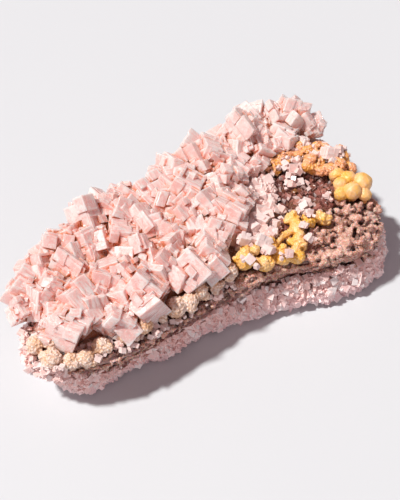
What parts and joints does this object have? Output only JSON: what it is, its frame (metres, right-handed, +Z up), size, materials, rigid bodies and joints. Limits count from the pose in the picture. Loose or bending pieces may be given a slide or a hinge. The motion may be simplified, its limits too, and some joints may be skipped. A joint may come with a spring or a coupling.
{
  "type": "halite cluster",
  "caption": "Pink halite cluster: cubic salt crystals, rounded yellow salt lumps and a mauve druse on a slab of layered salt crust, with a pale crystal druse underneath.",
  "frame": {"origin": "on the resting plane, under the middle of the cluster's box", "axes": "+X along the slab towards its wide end, +Y to the side with the tallest crystals, +Z up"},
  "size_m": [0.2428, 0.1318, 0.0659],
  "materials": {
    "salt_crust": "rough, porous, dark in its pits",
    "pink_halite": "cloudy, translucent, with glossy crystal faces",
    "yellow_salt": "sugary, slightly translucent",
    "mauve_halite": "glassy small crystals, translucent",
    "pale_halite": "cloudy, translucent small crystals"
  },
  "bodies": {
    "root": {"layered_crust": "salt_crust", "pink_crystals": "pink_halite", "yellow_lumps_left": "yellow_salt", "yellow_lumps_front": "yellow_salt", "yellow_lumps_middle": "yellow_salt", "yellow_lumps_back": "yellow_salt", "mauve_druse": "mauve_halite", "underside_druse": "pale_halite"}
  },
  "joints": []
}
